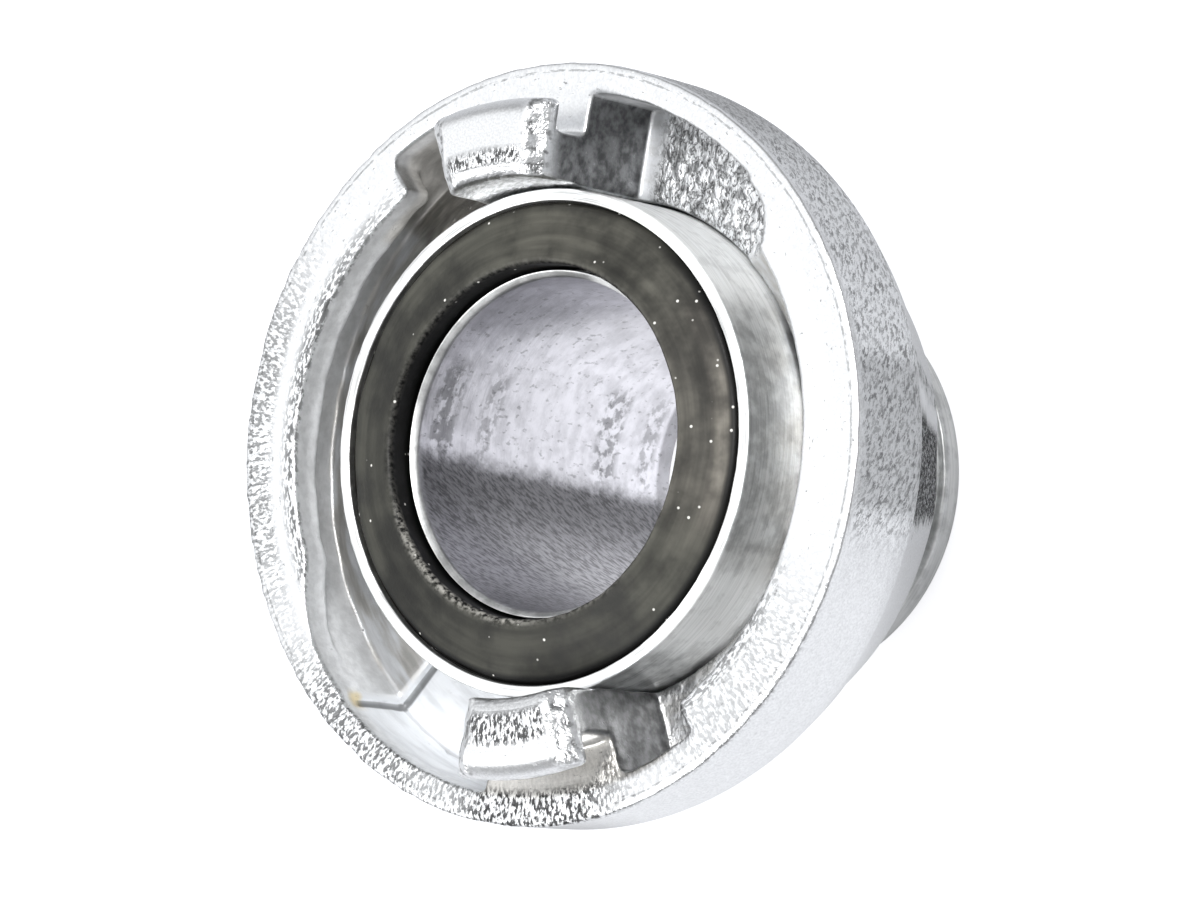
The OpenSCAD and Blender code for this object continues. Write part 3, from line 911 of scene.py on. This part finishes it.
# %% Tone of the bore
def bore_tone(p, mottle, scuffs):
    """Specks and soft marks on the bore's upper half, painted pale as if lit, and streaks on its
    lower half, painted dark as if shaded.
    """
    _, y, z = p.parts()
    # Painted light and shade: pale above a tilted line, dark below, the very top a little darker.
    height = p.less(y, p.times(z, 0.04))
    height = p.plus(height, p.times(p.noise(3.5, 4.0, rough=0.7), 0.004))
    specks = p.noise(0.7, 4.0, p.stretch((1.0, 1.0, 0.5)))
    streaks = p.noise(0.55, 3.0, p.stretch((1.0, 1.5, 0.4), (0.5, 0.2, 0)))
    upper = p.times(p.span(mottle, 0.3, 0.66, 0.66, 0.86), p.span(specks, 0.30, 0.42, 0.62, 1.0))
    upper = p.times(upper, p.span(y, 0.021, 0.012, 0.75, 1.0))
    soft = p.times(scuffs, p.span(p.noise(1.6, 3.0), 0.42, 0.56))
    upper = p.times(upper, p.blend(soft, 1.0, 0.45))
    lower = p.span(height, -0.014, -0.004, 0.40, 0.17)
    lower = p.times(p.span(streaks, 0.34, 0.62, 0.5, 1.15), lower)
    return p.blend(p.span(height, 0.0008, -0.0024), upper, lower)


# %% Turned aluminium
def turned_material():
    """Fine lines round the axis, a bright ring, and painted light: patches that mirror less
    and are painted brighter.
    """
    p = Paint("turned_aluminium", 1.0)
    m = p.masks("bore ring scuffs bright")
    lathe = p.noise(0.35, 2.0, **p.rings(1.0))
    mottle = p.noise(2.4, 4.0)
    tone = p.span(mottle, 0.34, 0.66, 0.66, 1.0)
    # Painted light: where the tail is marked bright, its tone is pale and it mirrors less.
    tone = p.blend(m.bright, tone, p.span(mottle, 0.35, 0.5, 0.85, 1.0))
    p.plug(p.blend(m.bright, 1.0, 0.15), p.shader.inputs["Metallic"])
    tone = p.times(tone, p.span(lathe, 0.3, 0.7, 0.85, 1.05))
    tone = p.blend(m.ring, tone, p.span(lathe, 0.30, 0.5, 0.6, 1.0))
    tone = p.blend(m.bore, tone, bore_tone(p, mottle, m.scuffs))
    hue = p.colour(m.bore, (0.98, 0.99, 0.985), (0.95, 0.945, 1.0))
    normal = p.bump(mottle, 0.06, p.bump(lathe, 0.02))
    return p.finish(p.tint(hue, tone), p.blend(m.bore, 0.42, 0.3), normal)


tail.data.materials.append(turned_material())
print("turned aluminium:", len(tail.active_material.node_tree.nodes), "nodes")


# %% [markdown]
# Rubber
#
# The gasket is black rubber that dust and water have turned olive. Dust is a scatter of dots, so its
# cells come from a Voronoi texture, of which only the lucky few get a speck.

# %% Rubber
DUST, WORN_EDGE = (0.75, 0.74, 0.70), (0.36, 0.35, 0.32)


def rubber_material():
    """Dark olive rubber with smears, a painted sheen in arcs round the axis and a lighter band,
    painted shade in its gap and inner wall, pale dust specks and a pale worn inner edge.
    """
    p = Paint("black_rubber")
    m = p.masks("worn sheen gap")
    smear = p.noise(7.0, 4.0)
    grit = p.noise(0.6, 3.0)
    dust = p.node("TexVoronoi", {"Vector": p.place, "Scale": 800.0, "Randomness": 1.0})
    lucky = p.node("SeparateColor", {0: dust.outputs["Color"]}).outputs[0]
    speck = p.times(p.span(dust.outputs["Distance"], 0.2, 0.08), p.span(lucky, 0.86, 0.88))
    # Painted sheen: the tone, and further down the hue, follow the sheen mask.
    tone = p.times(p.span(smear, 0.32, 0.68, 0.018, 0.066), m.sheen)
    # Painted sheen: arcs round the axis, lighter and darker.
    arcs = p.noise(1.6, 3.0, **p.rings(2.2))
    # Painted shade: the gap and the inner wall are painted near black.
    tone = p.times(tone, p.span(arcs, 0.3, 0.7, 0.7, 1.3), p.blend(m.gap, 1.0, 0.05))
    hue = p.colour(p.span(m.sheen, 1.0, 1.9), (0.98, 0.97, 0.80), (1.0, 0.93, 0.80))
    colour = p.tint(hue, tone)
    colour = p.colour(p.times(m.worn, p.span(grit, 0.35, 0.65)), colour, WORN_EDGE)
    colour = p.colour(speck, colour, DUST)
    p.shader.inputs["Specular IOR Level"].default_value = 0.25
    return p.finish(colour, p.span(smear, 0.3, 0.7, 0.42, 0.58), p.bump(grit, 0.03))


rubber.data.materials.append(rubber_material())
print("rubber:", len(rubber.active_material.node_tree.nodes), "nodes")


# %% [markdown]
# Spring steel
#
# The snap ring is a bent wire that hardly shows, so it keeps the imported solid's mesh and gets a plain
# drawn finish.

# %% Spring steel
def steel_material():
    """Drawn wire: grey, with fine lines along it."""
    p = Paint("spring_steel", 1.0)
    lines = p.noise(0.4, 2.0, **p.rings(1.3))
    tone = p.span(lines, 0.3, 0.7, 0.28, 0.5)
    return p.finish(p.colour(tone, (0.0, 0.0, 0.0), (0.95, 0.97, 1.0)), 0.35, p.bump(lines, 0.02))


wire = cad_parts["snap_ring"]
wire.data.materials.clear()
wire.data.materials.append(steel_material())
print("materials:", sorted(m.name for m in bpy.data.materials))

# %% [markdown]
# Floor and light
#
# The coupling stands on its tail on a white floor, which is also the background. Metal shows what it
# mirrors, so lamps alone would leave it black: the sky is a lamp too. A large soft patch of it,
# overhead to the left, fills the front faces, and it is dim elsewhere, so that hollows stay dark.

# %% Floor
FLOOR_GREY, FLOOR_WHITE, FLOOR_GLOW = (0.40, 0.405, 0.42), (0.98, 0.985, 1.0), 0.82


def floor_material():
    """White to the camera. In the metal it is bright below the bore and dimmest at the back."""
    p = Paint("floor")
    p.finish(FLOOR_GREY, 0.9)
    path = p.node("LightPath", {}).outputs
    far = p.node("VectorMath", {0: p.place}, operation="LENGTH").outputs["Value"]
    seen = p.most(path["Is Camera Ray"], path["Is Transmission Ray"])
    y = p.parts()[1]
    glow = p.most(p.span(far, 0.020, 0.030, 0.95, 0.0), p.span(y, -0.012, -0.04, 0.16, 0.42))
    sheen = p.times(path["Is Glossy Ray"], glow)
    p.plug((*FLOOR_WHITE, 1), p.shader.inputs["Emission Color"])
    p.plug(p.plus(p.times(seen, FLOOR_GLOW), sheen), p.shader.inputs["Emission Strength"])
    return p.material


bpy.ops.mesh.primitive_plane_add(size=6, location=(0, 0, 0))
floor = bpy.context.active_object
floor.name = "floor"
floor.data.materials.append(floor_material())
print("floor:", tuple(floor.dimensions)[:2], "m")


# %% Sky and lamp
SKY_SIDE = (-0.62, 0.08, 0.78)
SKY_RANGE = {"From Min": 0.45, "From Max": 0.95, "To Min": 0.36, "To Max": 1.22}


def make_world():
    """A dim sky with one large soft patch, brightest towards SKY_SIDE."""
    world = bpy.data.worlds.new("studio")
    world.use_nodes = True
    nodes, links = world.node_tree.nodes, world.node_tree.links
    coordinates = nodes.new("ShaderNodeTexCoord")
    dot = nodes.new("ShaderNodeVectorMath")
    dot.operation = "DOT_PRODUCT"
    dot.inputs[1].default_value = SKY_SIDE
    links.new(coordinates.outputs["Generated"], dot.inputs[0])
    spread = nodes.new("ShaderNodeMapRange")
    spread.interpolation_type = "SMOOTHSTEP"
    for name, value in SKY_RANGE.items():
        spread.inputs[name].default_value = value
    links.new(dot.outputs["Value"], spread.inputs["Value"])
    links.new(spread.outputs[0], nodes["Background"].inputs["Strength"])
    nodes["Background"].inputs["Color"].default_value = (0.98, 0.99, 1.0, 1)
    bpy.context.scene.world = world


def make_lamp(name, place, size, watts):
    """A square lamp at place, turned towards the head."""
    light = bpy.data.lights.new(name, "AREA")
    light.size, light.energy = size, watts
    lamp = bpy.data.objects.new(name, light)
    lamp.location = place
    lamp.rotation_mode = "QUATERNION"
    lamp.rotation_quaternion = (lamp.location - Vector((0, 0, 0.05))).to_track_quat("Z", "Y")
    bpy.context.scene.collection.objects.link(lamp)


make_world()
make_lamp("key", (0.40, 0.22, 0.85), 0.30, 6.5)
make_lamp("fill", (-0.30, -0.55, 0.75), 0.50, 4)
bpy.context.scene.view_settings.view_transform = "Standard"
